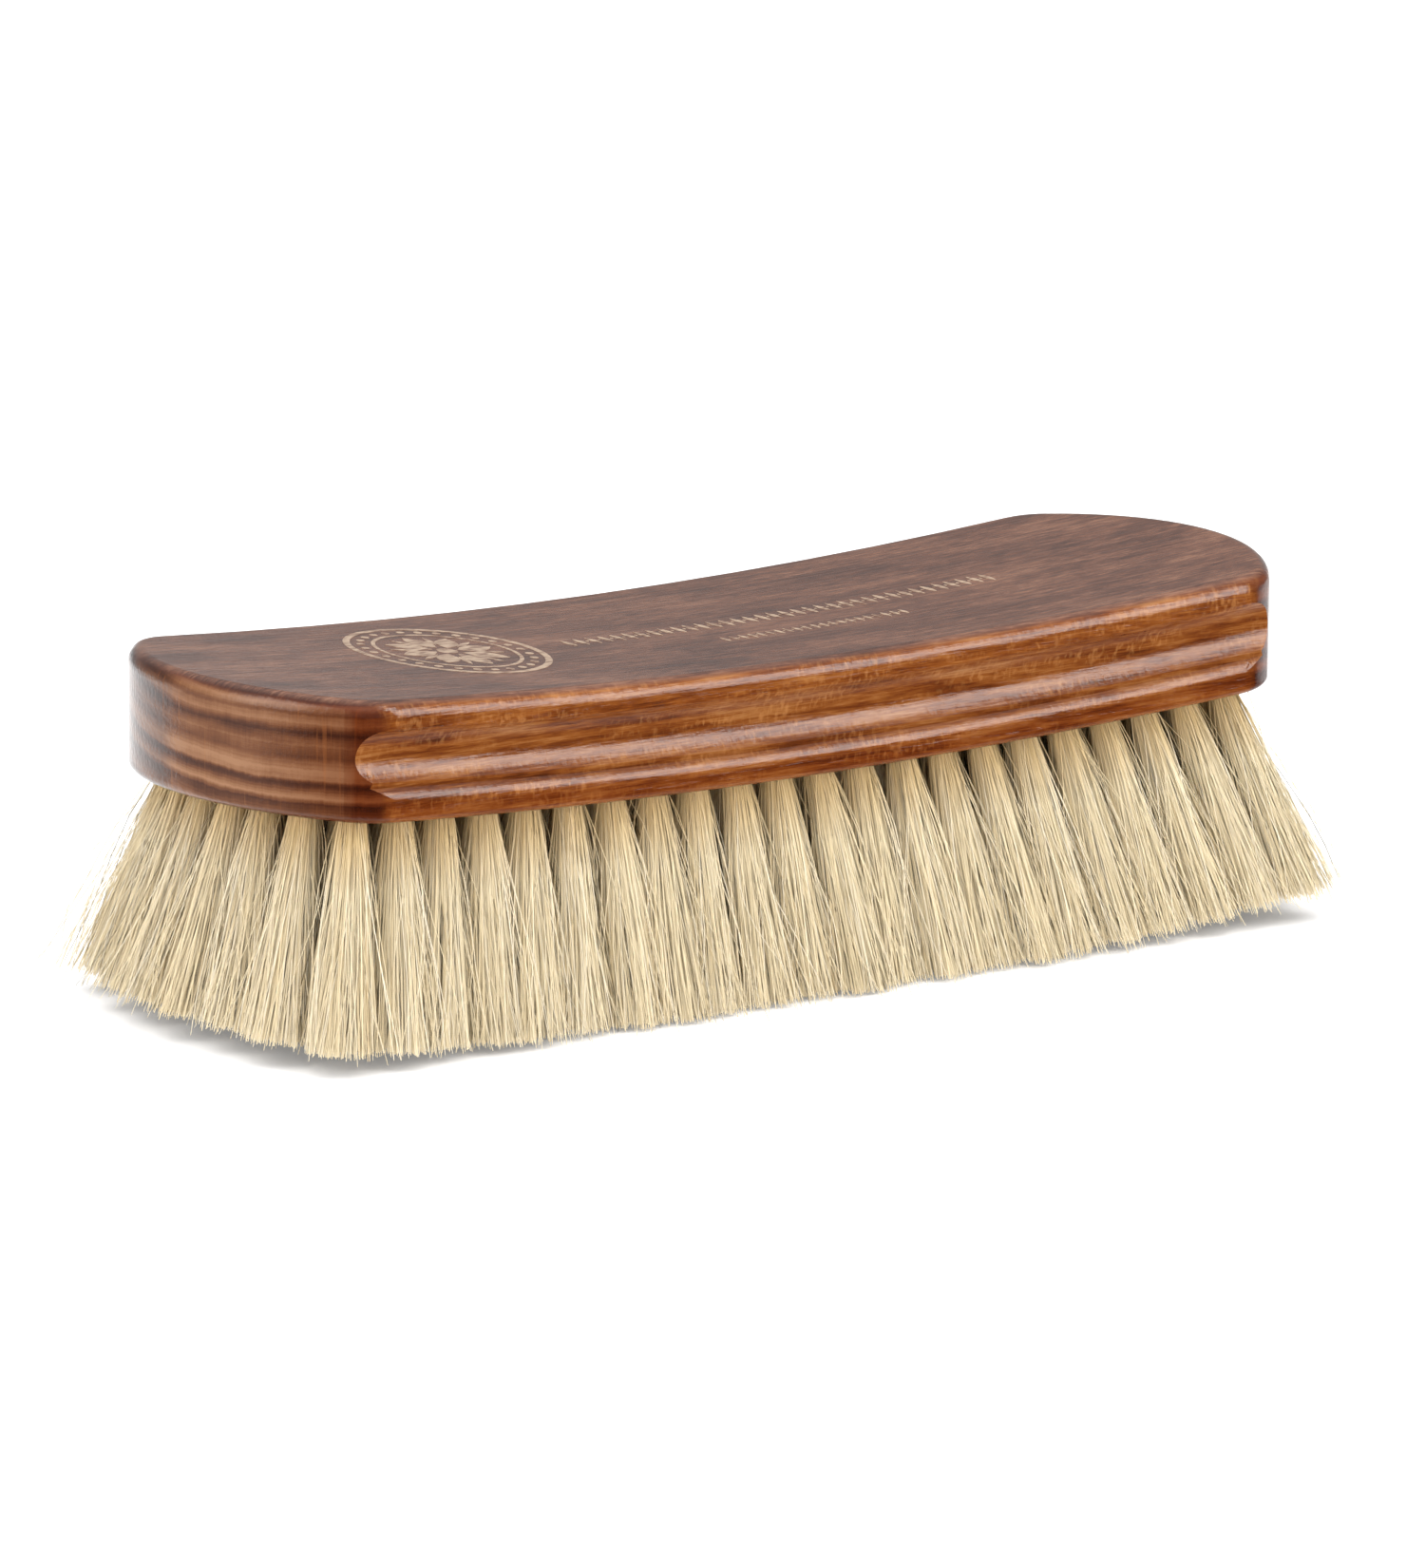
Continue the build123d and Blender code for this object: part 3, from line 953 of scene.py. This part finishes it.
def build_floor():
    n = Nodes("floor")
    n.set(Base_Color=(0.93, 0.93, 0.94, 1.0), Roughness=0.9, Specular_IOR_Level=0.0)
    n.set(Emission_Color=(0.98, 0.99, 1.0, 1.0), Emission_Strength=0.16)
    mesh = bpy.data.meshes.new("floor")
    corners = [(-1, -1), (1, -1), (1, 1), (-1, 1)]
    mesh.from_pydata([(x * FLOOR_HALF, y * FLOOR_HALF, 0) for x, y in corners], [], [(0, 1, 2, 3)])
    mesh.materials.append(n.material)
    floor = add_object("floor", mesh)
    floor.location.z = -FLOOR_DROP
    # the varnish mirrors the lower half of the world instead
    floor.visible_glossy = False


class World:
    """The world's node tree, built by short calls."""

    def __init__(self, name):
        self.world = bpy.data.worlds.new(name)
        self.world.use_nodes = True
        self.tree = self.world.node_tree
        coords = self.tree.nodes.new("ShaderNodeTexCoord")
        split = self.tree.nodes.new("ShaderNodeSeparateXYZ")
        self.tree.links.new(coords.outputs["Generated"], split.inputs[0])
        self.sideways, self.forward, self.height = split.outputs

    def fade(self, value, between, levels):
        """Goes smoothly from the first level to the second as the value passes between two places."""
        node = self.tree.nodes.new("ShaderNodeMapRange")
        node.interpolation_type = "SMOOTHSTEP"
        self.tree.links.new(value, node.inputs["Value"])
        names = ("From Min", "From Max", "To Min", "To Max")
        for name, number in zip(names, (*between, *levels)):
            node.inputs[name].default_value = number
        return node.outputs["Result"]

    def math(self, operation, a, b):
        node = self.tree.nodes.new("ShaderNodeMath")
        node.operation = operation
        for socket, value in zip(node.inputs, (a, b)):
            if isinstance(value, bpy.types.NodeSocket):
                self.tree.links.new(value, socket)
            else:
                socket.default_value = value
        return node.outputs[0]

    def room(self):
        """Above the horizon: a grey wall, brighter overhead."""
        wall = self.fade(self.height, (0.0, 0.32), (0.38, 0.24))
        overhead = self.fade(self.height, (0.32, 0.9), (0.0, 0.55))
        return self.math("ADD", wall, overhead)

    def sheet(self):
        """A bright sheet behind the brush, which ends on a line seen in the varnish of the left end."""
        sideways_part = self.math("MULTIPLY", self.sideways, SHEET_SIDE[0])
        forward_part = self.math("MULTIPLY", self.forward, SHEET_SIDE[1])
        past_edge = self.math("ADD", sideways_part, forward_part)
        sheet = self.fade(past_edge, (-0.006, 0.006), (0.0, 1.1))
        sheet = self.math("MULTIPLY", sheet, self.fade(self.forward, (0.3, 0.6), (0.0, 1.0)))
        return self.math("MULTIPLY", sheet, self.fade(self.height, (-0.06, -0.13), (0.0, 1.0)))

    def table(self):
        """Below the horizon: dark in front, bright behind, to the right and close under the brush."""
        table = self.fade(self.forward, (-0.4, 0.25), (0.04, 0.6))
        table = self.math("ADD", table, self.sheet())
        table = self.math("ADD", table, self.fade(self.sideways, (0.91, 0.95), (0.0, 0.9)))
        return self.math("ADD", table, self.fade(self.height, (-0.60, -0.95), (0.0, 0.9)))

    def finish(self):
        blend = self.tree.nodes.new("ShaderNodeMix")
        self.tree.links.new(self.fade(self.height, (-0.02, 0.03), (0.0, 1.0)), blend.inputs["Factor"])
        self.tree.links.new(self.table(), blend.inputs["A"])
        self.tree.links.new(self.room(), blend.inputs["B"])
        self.tree.links.new(blend.outputs["Result"], self.tree.nodes["Background"].inputs["Color"])
        bpy.context.scene.world = self.world


def build_light(name, place, size, power, color, mirrored):
    light = bpy.data.lights.new(name, "AREA")
    light.shape = "RECTANGLE"
    light.size, light.size_y = size
    light.energy = power
    light.color = color
    obj = add_object(name, light)
    obj.location = place
    obj.rotation_euler = (Vector(LIGHT_TARGET) - Vector(place)).to_track_quat("-Z", "Y").to_euler()
    obj.visible_glossy = mirrored


def build_camera():
    azimuth = math.radians(CAMERA_AZIMUTH)
    elevation = math.radians(CAMERA_ELEVATION)
    level = math.cos(elevation)
    back = Vector((math.sin(azimuth) * level, -math.cos(azimuth) * level, math.sin(elevation)))
    right = (-back).cross(Vector((0, 0, 1))).normalized()
    up = right.cross(-back)
    place = back * CAMERA_DISTANCE + right * CAMERA_SHIFT_RIGHT + up * CAMERA_SHIFT_UP + Vector(CAMERA_AIM)
    data = bpy.data.cameras.new("camera")
    data.sensor_fit = "VERTICAL"
    data.sensor_height = SENSOR_HEIGHT
    data.lens = CAMERA_LENS
    data.clip_start = 0.05
    data.clip_end = 60.0
    roll = math.radians(CAMERA_ROLL)
    rolled_right = right * math.cos(roll) + up * math.sin(roll)
    rolled_up = up * math.cos(roll) - right * math.sin(roll)
    turn = Matrix((rolled_right, rolled_up, back)).transposed()
    camera = add_object("camera", data)
    camera.matrix_world = Matrix.Translation(place) @ turn.to_4x4()
    bpy.context.scene.camera = camera


def build_stage():
    build_floor()
    World("studio").finish()
    for light in LIGHTS:
        build_light(*light)
    build_camera()
    settings = bpy.context.scene.view_settings
    settings.view_transform = "Standard"
    settings.look = "None"


def main():
    build_block(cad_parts["block"], beech_material())
    steel = steel_material()
    for name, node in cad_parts.items():
        if name.startswith("anchors"):
            for slot in node.material_slots:
                slot.material = steel
    hair = hair_material()
    for column in range(COLUMNS):
        build_hair(column, hair)
    gilt = print_material()
    build_medallion(gilt)
    for border in BORDERS:
        build_border(gilt, *border)
    build_stage()


main()
